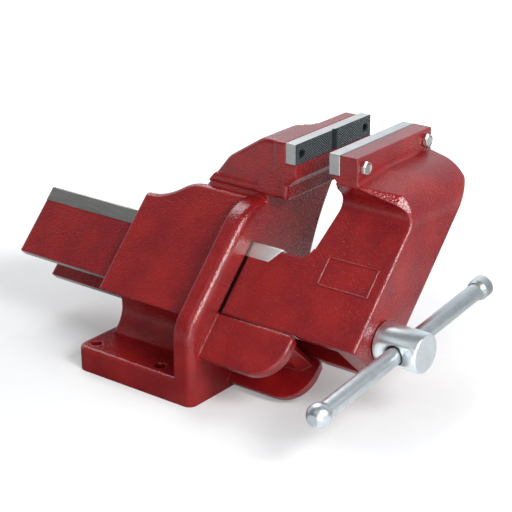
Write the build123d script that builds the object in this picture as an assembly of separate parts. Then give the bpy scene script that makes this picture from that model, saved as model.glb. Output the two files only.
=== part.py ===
# Offset bench vise with a slide that leans over to the right.
# Millimetres, +Z up. The origin is the centre of the four base bolts, on
# the underside of the base. +Y runs to the rear along the slide, and the
# jaws stand out to +X.
from build123d import *
from math import sin, cos, tan, radians
import os

os.makedirs("parts", exist_ok=True)

# Jaws
JAW_WIDTH = 150.0
JAW_LEFT = 29.5
JAW_TOP = 285.0
PLATE_HEIGHT = 24.7
PLATE_THICK = 14.8
FIXED_FACE = -152.0
OPENING = 45.0
MOVING_FACE = FIXED_FACE - OPENING
BLOCK_DEPTH = 38.7
PLATE_SCREWS = (41.5, 167.5)
SCREW_Z = 272.0

# Leaning slide, measured from the spindle axis: u up the slide, w to its left
LEAN = 43.7
AXIS_X = -4.7
AXIS_Z = 97.7
SLIDE_LOW = -34.5
SLIDE_HIGH = 57.0
SLIDE_HALF = 42.0
SLIDE_WALL = 12.0
SLIDE_RELIEF = 0.8
NECK_HALF = SLIDE_HALF - SLIDE_RELIEF
HEAD_TURN = 134.5
HEAD_COVE = 17.0
SLIDE_FRONT = -294.7
SLIDE_REAR = 209.5
RUN = 0.06

# Fixed body
BODY_FRONT = -110.0
BODY_REAR = 56.0
BASE_REAR = 68.0
BASE_HALF = 112.0
BASE_THICK = 31.0
BOLT_X = 95.0
BOLT_Y = 50.0
BOLT_R = 7.0
WALL_LEFT = 55.5
WALL_RIGHT = -60.5
COLLAR = 76.0
COLLAR_X = -112.0
COLLAR_ROUND = 10.0
COLLAR_TOP = 212.0
COLLAR_BEND = 60.0
HOUSING_TOP = 108.2
HOUSING_LOW = 80.5
NECK_LEFT = 31.5
MOUTH_GAP = 2.5

# Spindle and bar
SPINDLE_R = 14.0
HEAD_R = 23.0
HEAD_FRONT = -351.5
BAR_R = 10.0
BAR_Y = -324.7
BAR_TILT = 6.0
BAR_REACH = 159.5

S = sin(radians(LEAN))
C = cos(radians(LEAN))
UP = Vector(S, 0, C)
LEFT = Vector(-C, 0, S)
AXIS = Vector(AXIS_X, 0, AXIS_Z)
FRONT = Vector(0, -1, 0)
BAR_DIR = Vector(cos(radians(BAR_TILT)), 0, sin(radians(BAR_TILT)))


def lean(u, w, y=0.0):
    """Point at u up the slide and w to its left, at depth y."""
    return AXIS + UP * u + LEFT * w + Vector(0, y, 0)


def lean_xz(u, w):
    """The same point as (x, z), for a sketch seen from the front."""
    spot = lean(u, w)
    return (spot.X, spot.Z)


def front_view(y):
    """Sketch plane seen from the front: local x is X, local y is Z."""
    return Plane(origin=(0, y, 0), x_dir=(1, 0, 0), z_dir=(0, -1, 0))


def side_view(x):
    """Sketch plane seen from the right: local x is Y, local y is Z."""
    return Plane(origin=(x, 0, 0), x_dir=(0, 1, 0), z_dir=(1, 0, 0))


def wall_view(w):
    """Sketch plane on the slide's side: local x is -Y, local y is u."""
    return Plane(origin=AXIS + LEFT * w, x_dir=(0, -1, 0), z_dir=LEFT)


def closed(points):
    """Face inside a ring of points."""
    return make_face(Polyline(*points, close=True))


def across(outline, near, far):
    """Sweep a front-view outline from depth near to depth far."""
    return extrude(front_view(near) * outline, amount=near - far)


def along_x(outline, x0, x1):
    """Sweep a side-view outline between two widths."""
    return extrude(side_view(x0) * outline, amount=x1 - x0)


def along_w(outline, w0, w1):
    """Sweep an outline drawn on the slide's side from w0 to w1."""
    return extrude(wall_view(w0) * outline, amount=w1 - w0)


def lean_box(u0, u1, w0, w1, y0, y1):
    """Box with its sides along the leaning slide."""
    size = Rectangle(y1 - y0, u1 - u0)
    middle = Pos(-(y0 + y1) / 2, (u0 + u1) / 2)
    return along_w(middle * size, w0, w1)


def rod(start, direction, radius, length):
    """Round bar from a point along a direction."""
    plane = Plane(origin=start, z_dir=direction)
    return extrude(plane * Circle(radius), amount=length)


def edges_where(shape, test):
    """Edges whose middle, as (x, y, z, u, w, length), passes a test."""
    found = []
    for edge in shape.edges():
        middle = edge.center()
        out = middle - AXIS
        if test(middle.X, middle.Y, middle.Z, out.dot(UP), out.dot(LEFT), edge.length):
            found.append(edge)
    return found


# Fixed body

def base_flange():
    """Thick foot with rounded corners."""
    depth = BASE_REAR - BODY_FRONT
    middle = (BASE_REAR + BODY_FRONT) / 2
    foot = extrude(Pos(0, middle) * Rectangle(2 * BASE_HALF, depth), amount=BASE_THICK)
    rear = foot.edges().filter_by(Axis.Z).group_by(Axis.Y)[-1]
    foot = fillet(rear, 14)
    near = foot.edges().filter_by(Axis.Z).group_by(Axis.Y)[0].sort_by(Axis.X)[0]
    foot = fillet(near, COLLAR_ROUND)
    rim = foot.edges().group_by(Axis.Z)[-1]
    return fillet(rim, 5)


def housing():
    """Leaning box around the slide, on a waist with a round hollow."""
    low = lean_xz(-54.5, WALL_LEFT)
    high = lean_xz(HOUSING_TOP, WALL_LEFT)
    right = lean_xz(HOUSING_TOP, WALL_RIGHT)
    foot = lean_xz(-45, WALL_RIGHT)
    ring = Curve() + [
        Line(high, low),
        ThreePointArc(low, (-41.5, 64), (-59, BASE_THICK)),
        Line((-59, BASE_THICK), (-59, 20)),
        Line((-59, 20), (foot[0], 20)),
        Line((foot[0], 20), foot),
        Line(foot, right),
        Line(right, high),
    ]
    block = across(make_face(ring), BODY_REAR, -100)
    rise = JernArc((-52, HOUSING_LOW), (1, 0), 60, 43)
    crown = JernArc(rise @ 1, rise % 1, 43.2, -43)
    step = Curve() + [
        Line((-BODY_REAR - 1, HOUSING_LOW), (-52, HOUSING_LOW)),
        rise,
        crown,
        Polyline(crown @ 1, (20, 140), (-BODY_REAR - 1, 140), (-BODY_REAR - 1, HOUSING_LOW)),
    ]
    block -= along_w(make_face(step), -100, 100)
    crest = block.edges().filter_by(lambda e: abs((e.center() - AXIS).dot(LEFT) - WALL_LEFT) < 0.1)
    crest = crest.filter_by(lambda e: (e.center() - AXIS).dot(UP) > 60)
    return fillet(crest, 8)


def bulkhead():
    """Full-height front wall that carries the head on its overhang."""
    knee = (COLLAR_X, AXIS_Z + (COLLAR_X - lean_xz(0, COLLAR)[0]) / S * C + COLLAR * S)
    crown = (AXIS_X + (COLLAR_TOP - AXIS_Z) * S / C - COLLAR / C, COLLAR_TOP)
    right = JAW_LEFT + JAW_WIDTH - 1.5
    ring = Curve() + [
        Polyline((100, 0), (COLLAR_X, 0), knee, crown, (NECK_LEFT, COLLAR_TOP), (NECK_LEFT, 262),
                 (right, 262), (right, 214)),
        ThreePointArc((right, 214), (120, 117), (100, 0)),
    ]
    outline = make_face(ring)
    bend = outline.vertices().sort_by_distance((knee[0], knee[1], 0))[0]
    outline = fillet(bend, 46)
    bend = outline.vertices().sort_by_distance((crown[0], crown[1], 0))[0]
    outline = fillet(bend, COLLAR_BEND)
    wall = across(outline, -86, BODY_FRONT)
    lip = wall.edges().group_by(Axis.Y)[0]
    left = lip.filter_by(lambda e: e.center().X < NECK_LEFT - 1 and 10 < e.center().Z < 241)
    wall = fillet(left, COLLAR_ROUND)
    lip = wall.edges().group_by(Axis.Y)[0]
    return fillet(lip.filter_by(lambda e: e.center().X > 99 and 5 < e.center().Z < 221), 5)


def collar_blend():
    """Hollow round that joins the front wall to the leaning side."""
    low = -54
    top = (COLLAR_TOP - AXIS_Z - COLLAR * S) / C - COLLAR_BEND * tan(radians((90 - LEAN) / 2))
    inner = WALL_LEFT - 6
    rear = 64.3
    front = 90
    hollow = 22.2
    block = Pos(rear, 0) * Rectangle(front - rear, COLLAR - 2 - inner, align=(Align.MIN, Align.MIN))
    outline = block - Pos(rear - 0.3, WALL_LEFT - inner + hollow + 0.05) * Circle(hollow)
    start = Plane(origin=lean(low, inner), x_dir=(0, -1, 0), z_dir=UP)
    straight = extrude(start * outline, amount=top - low)
    turn = Plane(origin=lean(top, inner), x_dir=(0, -1, 0), z_dir=UP)
    pivot = Axis(lean(top, COLLAR - COLLAR_BEND), (0, 1, 0))
    return straight + revolve(turn * outline, pivot, 52)


def neck():
    """Raked buttress from the top of the housing up to the jaw."""
    seat = FIXED_FACE + PLATE_THICK
    brow = JernArc((-112, JAW_TOP), (1, 0), 30, -32.5)
    slope = brow @ 1 + (brow % 1) * 47.3
    bend = JernArc(slope, brow % 1, 30, -18.5)
    ring = make_face(Curve() + [
        Line((seat, JAW_TOP), (-112, JAW_TOP)),
        brow,
        Line(brow @ 1, slope),
        bend,
        Polyline(bend @ 1, bend @ 1 + (bend % 1) * 125, (34, 120), (-100, 120), (-100, 210),
                 (seat, 240), (seat, JAW_TOP)),
    ])
    rib = along_x(ring, NECK_LEFT, 160)
    left = rib.edges().filter_by(lambda e: e.center().X < NECK_LEFT + 0.1 and e.center().Z > 160
                                 and (e.center().Y > -99 or e.center().Z > 270) and e.center().Y > -111)
    rib = fillet(left, 6)
    rib -= across(closed([(100.5, 300), (107, 120), (170, 120), (170, 300)]), 40, -150)
    right = rib.edges().filter_by(lambda e: e.center().X > 99 and e.center().Z > 160
                                  and (e.center().Y > -99 or e.center().Z > 270) and e.center().Y > -111)
    rib = fillet(right, 6)
    return rib + (neck_bead() & along_x(ring, 20, 60))


def neck_bead():
    """Round bead along the foot of the neck's left side."""
    ring = Curve() + [
        Line((45, 215.5), (35.5, 215.5)),
        ThreePointArc((35.5, 215.5), (31.3, 217.3), (JAW_LEFT, 221.5)),
        Line((JAW_LEFT, 221.5), (JAW_LEFT, 224)),
        ThreePointArc((JAW_LEFT, 224), (30.3, 227.4), (NECK_LEFT + 0.5, 229)),
        Line((NECK_LEFT + 0.5, 229), (45, 229)),
        Line((45, 229), (45, 215.5)),
    ]
    return across(make_face(ring), 20, -120)


def neck_gusset():
    """Hollow round between the neck's right side and the head."""
    ring = Curve() + [
        Line((95, -125), (113, -125)),
        Line((113, -125), (113, -120)),
        ThreePointArc((113, -120), (104.6, -118), (101, -112)),
        Line((101, -112), (95, -112)),
        Line((95, -112), (95, -125)),
    ]
    return Pos(0, 0, 262) * extrude(make_face(ring), amount=JAW_TOP - 262)


def neck_core():
    """Cored hollow of the neck, open to the slide passage below it."""
    ring = closed([(-92, 120), (-92, 262), (-84, 262), (-52, 222), (-44, 190), (-44, 120)])
    return along_x(ring, 44, 84)


def fixed_head():
    """Block behind the fixed jaw plate, with a lip under the plate."""
    back = FIXED_FACE + PLATE_THICK
    low = JAW_TOP - PLATE_HEIGHT - 0.2
    ring = closed([(back, JAW_TOP), (back, low), (FIXED_FACE, low), (FIXED_FACE, 243.5), (-139.5, 232.5),
                   (-138, 215.5), (-98, 215.5), (-98, 236), (-120, 252), (-120, JAW_TOP)])
    head = along_x(ring, JAW_LEFT, JAW_LEFT + JAW_WIDTH)
    corner = edges_where(head, lambda x, y, z, u, w, n: abs(x - JAW_LEFT) < 0.1 and z > 246 and abs(y + 120) < 1)
    head = fillet(corner, 4)
    lip = edges_where(head, lambda x, y, z, u, w, n: abs(x - JAW_LEFT) < 0.1 and z < 243 and y < -110)
    head = fillet(lip, 5)
    end = edges_where(head, lambda x, y, z, u, w, n: abs(z - JAW_TOP) < 0.1 and x > 179)
    head = fillet(end, 12)
    top = edges_where(head, lambda x, y, z, u, w, n: abs(z - JAW_TOP) < 0.1 and abs(y + 120) < 1)
    return fillet(top, 3)


def tongues():
    """Two ribs in front of the body that carry the slide's lower edges."""
    side = closed([(104, -36), (164, -36), (168, SLIDE_LOW - RUN), (216, SLIDE_LOW - RUN),
                   (216, -92), (104, -92)])
    nose = side.vertices().group_by(Axis.X)[-1].sort_by(Axis.Y)
    side = fillet(nose[-1], 8)
    side = fillet(side.vertices().group_by(Axis.Y)[0].sort_by(Axis.X)[-1], 40)
    inner = SLIDE_HALF - SLIDE_WALL
    ribs = along_w(side, inner, SLIDE_HALF) + along_w(side, -SLIDE_HALF, -inner)
    web = along_w(closed([(104, -38), (205, -38), (207, -44), (196, -54), (104, -58)]), -inner - 2, inner + 2)
    shape = ribs + web
    outer = edges_where(shape, lambda x, y, z, u, w, n: abs(abs(w) - SLIDE_HALF) < 0.1
                        and y < -120 and u < -36 and n > 10)
    return fillet(outer, 4)


def body_openings():
    """Slide passage, cast clearance at its mouth, bolt holes and plate screws."""
    gap = SLIDE_HALF + RUN
    passage = lean_box(SLIDE_LOW - RUN, SLIDE_HIGH + 0.3, -gap, gap, -111, 70)
    mouth = lean_box(-36, SLIDE_HIGH + 0.3, -gap, SLIDE_HALF + MOUTH_GAP, -111, -86)
    cut = passage + mouth
    for x in (-BOLT_X, BOLT_X):
        for y in (-BOLT_Y, BOLT_Y):
            cut += Pos(x, y, -1) * extrude(Circle(BOLT_R), amount=BASE_THICK + 2)
    for x in PLATE_SCREWS:
        cut += rod((x, -100, SCREW_Z), FRONT, 4.3, 60)
        cut += rod((x, -106, SCREW_Z), FRONT, 8.5, 14)
    for y in (-35, 35):
        cut += rod(lean(-49, 0, y), UP, 4.05, 20)
    return cut


def fixed_jaw_body():
    """The whole fixed casting."""
    body = base_flange() + housing() + bulkhead() + collar_blend()
    body += neck() + neck_gusset()
    body += fixed_head()
    body += tongues()
    body = body - body_openings() - neck_core()
    foot = edges_where(body, lambda x, y, z, u, w, n: abs(z - BASE_THICK) < 0.3 and -62 < x < -55 and n > 60)
    body = fillet(foot, 8)
    rear = edges_where(body, lambda x, y, z, u, w, n: abs(y - BODY_REAR) < 0.3
                       and abs(w - WALL_LEFT) < 0.3 and n > 40)
    return fillet(rear, 3)


# Moving jaw

def jaw_front_outline():
    """Front view of the moving casting: leaning neck under an offset head."""
    left = (lean_xz(HEAD_TURN, 0)[0] - JAW_LEFT) / C
    right_u = (JAW_LEFT + JAW_WIDTH - lean_xz(0, -SLIDE_HALF)[0]) / S
    bend = lean_xz(HEAD_TURN, NECK_HALF)
    outline = closed([
        lean_xz(SLIDE_LOW, NECK_HALF), bend, lean_xz(HEAD_TURN, left),
        (JAW_LEFT, JAW_TOP), (JAW_LEFT + JAW_WIDTH, JAW_TOP),
        lean_xz(right_u, -SLIDE_HALF), lean_xz(SLIDE_LOW, -SLIDE_HALF)])
    return fillet(outline.vertices().sort_by_distance((bend[0], bend[1], 0))[0], HEAD_COVE)


def shoulder():
    """Side view of the head: plate seat, ledge and the round shoulder."""
    seat = MOVING_FACE - PLATE_THICK
    low = JAW_TOP - PLATE_HEIGHT - 0.2
    front = MOVING_FACE - BLOCK_DEPTH
    bulge = JernArc((SLIDE_FRONT, 208), (0, 1), 50, -79)
    ring = Curve() + [
        Line((seat, JAW_TOP), (seat, low)),
        Line((seat, low), (seat + 11, low)),
        Line((seat + 11, low), (seat + 4, 253)),
        Line((seat + 4, 253), (seat + 30, 200)),
        Line((seat + 30, 200), (seat + 30, 0)),
        Line((seat + 30, 0), (SLIDE_FRONT, 0)),
        Line((SLIDE_FRONT, 0), (SLIDE_FRONT, 208)),
        bulge,
        Line(bulge @ 1, (front, 261.5)),
        Line((front, 261.5), (front, JAW_TOP)),
        Line((front, JAW_TOP), (seat, JAW_TOP)),
    ]
    return make_face(ring)


def neck_side():
    """Side of the neck, square to the leaning face."""
    return closed([(294.7, SLIDE_LOW), (294.7, 275), (200, 275), (202, 134.5), (190, 54.5),
                   (150, 54.5), (150, SLIDE_LOW)])


def throat_round():
    """Hollow round between the neck and the top of the slide."""
    fill = lean_box(52, 68, -SLIDE_HALF, NECK_HALF, -195, -175)
    return fill - along_w(Pos(174.5, 70.2) * Circle(15.7), -60, 60)


def facet():
    """Flat cut beside the left bolt, for the spanner."""
    plane = Plane(origin=(95, -264, 254.7), x_dir=(1, 0, 0.13), z_dir=(-0.13, -0.30, 1))
    slab = extrude(plane * Rectangle(240, 300), amount=40)
    ahead = Pos(100, MOVING_FACE - BLOCK_DEPTH - 60, 240) * Box(240, 120, 120)
    return slab & ahead


def head_corner():
    """Slanted cut that narrows the head's left side towards the front."""
    back = BLOCK_DEPTH - MOVING_FACE
    outline = [(back, -110), (back, -84.3), (277.8, -59.8), (297, -NECK_HALF), (301, -NECK_HALF), (301, -110)]
    plane = Plane(origin=lean(HEAD_TURN - HEAD_COVE - 4, 0), x_dir=(0, -1, 0), z_dir=UP)
    return extrude(plane * closed(outline), amount=90)


def slide_channel():
    """Leaning channel, open below, with a machined land along its top corners."""
    inner = SLIDE_HALF - SLIDE_WALL
    body = lean_box(SLIDE_LOW, 54.5, -SLIDE_HALF + SLIDE_RELIEF, SLIDE_HALF - SLIDE_RELIEF, -280, SLIDE_REAR)
    left = along_w(closed([(-SLIDE_REAR, 38.3), (141, 38.3), (154, SLIDE_HIGH), (-SLIDE_REAR, SLIDE_HIGH)]),
                   inner, SLIDE_HALF)
    right = along_w(closed([(-SLIDE_REAR, 38.3), (141, 38.3), (154, SLIDE_HIGH), (-SLIDE_REAR, SLIDE_HIGH)]),
                    -SLIDE_HALF, -inner)
    return body + left + right


def jaw_cavities():
    """Open channel, the core up the neck, the spindle bore and bolt holes."""
    inner = SLIDE_HALF - SLIDE_WALL
    cut = lean_box(SLIDE_LOW - 5, 42.5, -inner, inner, -268, SLIDE_REAR + 1)
    cut += lean_box(20, 158, -inner + 2, inner - 2, -280, -216)
    cut += rod(lean(0, 0, -260), FRONT, SPINDLE_R + 0.07, 40)
    for x in PLATE_SCREWS:
        cut += rod((x, -200, SCREW_Z), FRONT, 4.3, 40)
    return cut


def moving_jaw():
    """The whole moving casting."""
    prism = across(jaw_front_outline(), -150, SLIDE_FRONT - 1)
    jaw = prism & along_x(shoulder(), -120, 200)
    jaw &= along_w(neck_side(), -200, 200)
    jaw -= facet()
    jaw -= head_corner()
    jaw -= chin_cut()
    jaw += throat_round()
    jaw += slide_channel()
    jaw += rod(lean(0, 0, SLIDE_FRONT + 2), FRONT, 25, 3)
    return round_jaw_edges(jaw - jaw_cavities())


def round_jaw_edges(jaw):
    """Cast rounds on the neck, the shoulder and the block."""
    left = edges_where(jaw, lambda x, y, z, u, w, n: -0.2 < w - NECK_HALF < 2 and y < -285
                       and 0 < u < 134 and n > 3)
    jaw = fillet(left, 4)
    ridge = edges_where(jaw, lambda x, y, z, u, w, n: abs(u - 168) < 4 and abs(w - 45) < 4 and n > 40)
    jaw = fillet(ridge, 12)
    slant = edges_where(jaw, lambda x, y, z, u, w, n: u > HEAD_TURN and y < -240 and abs(w - 71.6) < 3 and n > 40)
    jaw = fillet(slant, 3)
    right = edges_where(jaw, lambda x, y, z, u, w, n: (abs(w + SLIDE_HALF) < 0.2 and y < -240
                        and u > 60 and n > 20 and z < 232)
                        or (abs(x - JAW_LEFT - JAW_WIDTH) < 0.1 and 237 < z < 261 and y < -240))
    jaw = fillet(right, 8)
    low = edges_where(jaw, lambda x, y, z, u, w, n: abs(w - NECK_HALF) < 0.2
                      and abs(u - SLIDE_LOW) < 0.1 and n > 60)
    jaw = fillet(low, 2)
    block = MOVING_FACE - BLOCK_DEPTH
    top = edges_where(jaw, lambda x, y, z, u, w, n: abs(z - JAW_TOP) < 0.1 and abs(y - block) < 0.1)
    jaw = fillet(top, 2)
    foot = edges_where(jaw, lambda x, y, z, u, w, n: abs(z - 261.5) < 0.2 and abs(y - block) < 0.1 and n > 60)
    return fillet(foot, 4)


def chin_cut():
    """Rounds the lower right corner of the front wall."""
    corner = lean_box(-60, -8, -60, -8, -310, -268)
    return corner - rod(lean(0, -8, -260), FRONT, 34.5, 60)


# Plates and bolts

def jaw_plate(face, seat_side):
    """Steel jaw plate with two tapped holes."""
    low = JAW_TOP - PLATE_HEIGHT
    middle = (face + seat_side * PLATE_THICK / 2)
    plate = Pos(JAW_LEFT + JAW_WIDTH / 2, middle, low + PLATE_HEIGHT / 2) * Box(
        JAW_WIDTH, PLATE_THICK, PLATE_HEIGHT)
    plate = chamfer(plate.edges(), 0.8)
    for x in PLATE_SCREWS:
        plate -= rod((x, middle - 20, SCREW_Z), (0, 1, 0), 4.05, 40)
    return plate


def fixed_jaw_plate():
    """Fixed plate, with an upright groove for round work."""
    plate = jaw_plate(FIXED_FACE, 1)
    x = JAW_LEFT + JAW_WIDTH / 2
    groove = closed([(x - 4, FIXED_FACE - 0.01), (x + 4, FIXED_FACE - 0.01), (x, FIXED_FACE + 4)])
    return plate - Pos(0, 0, 200) * extrude(groove, amount=100)


def hex_bolt(x, under_head, towards, length):
    """Hexagon bolt whose head bears at under_head."""
    away = Vector(0, -towards, 0)
    seat = Plane(origin=(x, under_head, SCREW_Z), z_dir=away)
    head = extrude(seat * RegularPolygon(8.1, 6), amount=6)
    shank = extrude(Plane(origin=(x, under_head, SCREW_Z), z_dir=(0, towards, 0)) * Circle(4.0), amount=length)
    return head + shank


# Spindle, nut and bar

def spindle():
    """Plain shank under the thread, with a drilled head."""
    shank = rod(lean(0, 0, 145), FRONT, SPINDLE_R, 145 + 300)
    shank = chamfer(shank.edges().group_by(Axis.Y)[-1], 2)
    head = rod(lean(0, 0, -295.95), FRONT, HEAD_R, -295.95 - HEAD_FRONT)
    head = chamfer(head.edges().group_by(Axis.Y)[0], 1.6)
    hole = rod(bar_spot(-40), BAR_DIR, BAR_R + 0.25, 80)
    pin = rod(lean(-20, 0, -261.5), UP, 3.05, 40)
    return shank + head - hole - pin


def bar_spot(along):
    """Point on the bar's axis."""
    return lean(0, 0, BAR_Y) + BAR_DIR * along


def spindle_collar():
    """Ring pinned behind the front wall, which pulls the jaw open."""
    ring = rod(lean(0, 0, -255.5), FRONT, 22, 12)
    ring -= rod(lean(0, 0, -250), FRONT, SPINDLE_R + 0.05, 30)
    return ring - rod(lean(-30, 0, -261.5), UP, 3.05, 60)


def collar_pin():
    """Cross pin of the collar."""
    return rod(lean(-21, 0, -261.5), UP, 3.0, 42)


def spindle_nut():
    """Nut block on two feet, with a round top."""
    block = lean_box(-34.5, 0, -22, 22, -24, 24) + rod(lean(0, 0, 24), FRONT, 22, 48)
    feet = lean_box(-34.5, -20, -16, 16, -46, 46)
    nut = block + feet
    nut -= rod(lean(0, 0, 50), FRONT, SPINDLE_R + 0.06, 100)
    for y in (-35, 35):
        nut -= rod(lean(-36, 0, y), UP, 4.2, 40)
        nut -= rod(lean(-28.3, 0, y), UP, 6.8, 12)
    return nut


def nut_screw(y):
    """Socket screw that holds one foot of the nut."""
    screw = rod(lean(-28.2, 0, y), UP, 6.5, 7.8) + rod(lean(-48, 0, y), UP, 4.0, 20)
    socket = Plane(origin=lean(-24, 0, y), z_dir=UP)
    return screw - extrude(socket * RegularPolygon(3.4, 6), amount=6)


def handle_bar():
    """Round bar through the spindle head, forged to a ball at the near end."""
    bar = rod(bar_spot(-BAR_REACH), BAR_DIR, BAR_R, 2 * BAR_REACH + 4)
    bar = chamfer(bar.edges().group_by(Axis.X)[-1], 1)
    ball = Pos(bar_spot(-BAR_REACH)) * Sphere(14.0)
    return bar + ball - rod(bar_spot(-BAR_REACH - 12.4), -BAR_DIR, 14.0, 10)


def bar_cap(radius):
    """Pressed cap on the far end of the bar, turned with two tapers a side."""
    half = radius - 1.4
    bore = BAR_R + 0.05
    steps = [(-half, bore), (-half, 11), (-half + 5, radius), (half - 5, radius), (half, 8.5),
             (half, 0), (5, 0), (5, bore)]
    plane = Plane(origin=bar_spot(BAR_REACH), x_dir=BAR_DIR, z_dir=Vector(0, 1, 0).cross(BAR_DIR))
    axis = Axis(bar_spot(BAR_REACH), BAR_DIR)
    return revolve(plane * closed(steps), axis, 360)


def nodes():
    """Every separate piece by name."""
    seat = FIXED_FACE + PLATE_THICK
    return {
        "fixed_jaw_body": fixed_jaw_body(),
        "fixed_jaw_plate": fixed_jaw_plate(),
        "fixed_jaw_bolt_left": hex_bolt(PLATE_SCREWS[0], -120, -1, 27),
        "fixed_jaw_bolt_right": hex_bolt(PLATE_SCREWS[1], -120, -1, 27),
        "moving_jaw": moving_jaw(),
        "moving_jaw_plate": jaw_plate(MOVING_FACE, -1),
        "moving_jaw_bolt_left": hex_bolt(PLATE_SCREWS[0], MOVING_FACE - BLOCK_DEPTH, 1, 34),
        "moving_jaw_bolt_right": hex_bolt(PLATE_SCREWS[1], MOVING_FACE - BLOCK_DEPTH, 1, 34),
        "spindle": spindle(),
        "spindle_collar": spindle_collar(),
        "collar_pin": collar_pin(),
        "spindle_nut": spindle_nut(),
        "nut_screw_front": nut_screw(-35),
        "nut_screw_rear": nut_screw(35),
        "handle_bar": handle_bar(),
        "handle_cap": bar_cap(13.0),
    }


if __name__ == "__main__":
    for name, shape in nodes().items():
        export_step(shape, "parts/" + name + ".step")
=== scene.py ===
# Engineers vise of the offset pattern, in metres: red enamelled castings,
# ground steel jaw plates, a zinc plated spindle and bar.
from math import cos, hypot, pi, radians, sin

import bmesh
import bpy
from mathutils import Matrix, Vector


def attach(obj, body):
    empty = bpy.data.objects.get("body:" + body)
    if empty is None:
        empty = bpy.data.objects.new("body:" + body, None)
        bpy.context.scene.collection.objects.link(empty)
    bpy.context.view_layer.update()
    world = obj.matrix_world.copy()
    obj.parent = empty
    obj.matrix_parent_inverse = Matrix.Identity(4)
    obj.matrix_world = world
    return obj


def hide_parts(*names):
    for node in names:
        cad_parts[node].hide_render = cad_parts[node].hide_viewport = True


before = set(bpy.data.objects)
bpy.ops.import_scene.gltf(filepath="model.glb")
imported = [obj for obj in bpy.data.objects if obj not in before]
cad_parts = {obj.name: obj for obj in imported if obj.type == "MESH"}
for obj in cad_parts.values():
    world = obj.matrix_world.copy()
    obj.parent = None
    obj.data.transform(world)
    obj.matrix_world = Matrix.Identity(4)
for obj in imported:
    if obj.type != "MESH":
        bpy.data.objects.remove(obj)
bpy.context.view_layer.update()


# Castings
# Both halves of the vise are grey iron, cast in sand and sprayed with glossy red
# enamel. The sliding faces, the seat of the base and the lands are machined bare.

def feed(tree, node, sources):
    """Feed a node's inputs, by name or number, with sockets or fixed values."""
    for place, source in sources.items():
        if isinstance(source, bpy.types.NodeSocket):
            tree.links.new(source, node.inputs[place])
        else:
            node.inputs[place].default_value = source


def add_node(tree, kind, sources=None, **settings):
    """Add a node, make its settings, and feed its inputs."""
    node = tree.nodes.new(kind)
    for name, value in settings.items():
        setattr(node, name, value)
    feed(tree, node, sources or {})
    return node


def sum_of(tree, operation, first, second=0.0, third=0.0):
    """One step of arithmetic."""
    sources = {0: first, 1: second, 2: third}
    return add_node(tree, "ShaderNodeMath", sources, operation=operation).outputs[0]


def above(tree, value, limit):
    """1 where a value is above a limit."""
    return sum_of(tree, "GREATER_THAN", value, limit)


def below(tree, value, limit):
    """1 where a value is below a limit."""
    return sum_of(tree, "LESS_THAN", value, limit)


def both(tree, *masks):
    """1 where every mask is 1."""
    result = masks[0]
    for mask in masks[1:]:
        result = sum_of(tree, "MULTIPLY", result, mask)
    return result


def either(tree, first, second):
    """1 where one of two masks is 1."""
    return sum_of(tree, "MAXIMUM", first, second)


def ramp(tree, value, start, end, low=0.0, high=1.0):
    """Straight run from low to high between two limits, and level outside them."""
    sources = {"Value": value, 1: start, 2: end, 3: low, 4: high}
    return add_node(tree, "ShaderNodeMapRange", sources).outputs[0]


def blend_colour(tree, share, low, high):
    """Colour between two, by a share from 0 to 1."""
    sources = {"Factor": share, 6: low, 7: high}
    return add_node(tree, "ShaderNodeMix", sources, data_type="RGBA").outputs[2]


def blend_value(tree, share, low, high):
    """Number between two, by a share from 0 to 1."""
    sources = {"Factor": share, 2: low, 3: high}
    return add_node(tree, "ShaderNodeMix", sources, data_type="FLOAT").outputs[0]


def vector_sum(tree, operation, *vectors):
    """One step of vector arithmetic, which gives a vector or a number."""
    node = add_node(tree, "ShaderNodeVectorMath", dict(enumerate(vectors)), operation=operation)
    number = operation in ("DOT_PRODUCT", "LENGTH", "DISTANCE")
    return node.outputs["Value" if number else "Vector"]


def coordinate(tree, place, axis):
    """X, Y or Z of a place."""
    return add_node(tree, "ShaderNodeSeparateXYZ", {0: place}).outputs[axis]


def speckle(tree, place, scale, detail=3.0):
    """Noise from 0 to 1."""
    sources = {"Vector": place, "Scale": scale, "Detail": detail}
    return add_node(tree, "ShaderNodeTexNoise", sources).outputs["Fac"]


def stretched(tree, place, scale):
    """Place with its axes scaled, so that noise runs in streaks."""
    return add_node(tree, "ShaderNodeMapping", {"Vector": place, "Scale": scale}).outputs[0]


def shader_group(name, inputs, outputs):
    """Shader group with named inputs and outputs, and the sockets that its inputs give inside."""
    tree = bpy.data.node_groups.new(name, "ShaderNodeTree")
    for socket, kind in inputs.items():
        tree.interface.new_socket(socket, in_out="INPUT", socket_type="NodeSocket" + kind)
    for socket in outputs:
        tree.interface.new_socket(socket, in_out="OUTPUT", socket_type="NodeSocketFloat")
    return tree, tree.nodes.new("NodeGroupInput").outputs


WAVE_SCALE = 0.12
WAVE_SHARE = 0.35


def cast_skin_group():
    """Pebbled sand-cast skin under a coat that has flowed a little."""
    inputs = {"Place": "Vector", "Pebble Size": "Float", "Pebble Depth": "Float"}
    tree, given = shader_group("cast_skin", inputs, ("Height", "Cloud", "Grit"))
    scale = sum_of(tree, "DIVIDE", 1.0, given["Pebble Size"])
    pebble = speckle(tree, given["Place"], scale, detail=2.0)
    wave = speckle(tree, given["Place"], sum_of(tree, "MULTIPLY", scale, WAVE_SCALE), detail=1.0)
    rise = sum_of(tree, "MULTIPLY_ADD", wave, WAVE_SHARE, pebble)
    add_node(tree, "NodeGroupOutput", {
        "Height": sum_of(tree, "MULTIPLY", rise, given["Pebble Depth"]),
        "Cloud": speckle(tree, given["Place"], scale=26.0, detail=2.5),
        "Grit": speckle(tree, given["Place"], scale=700.0, detail=2.0)})
    return tree


EDGE_STARTS = 0.985
EDGE_SHARP = 0.80


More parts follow.
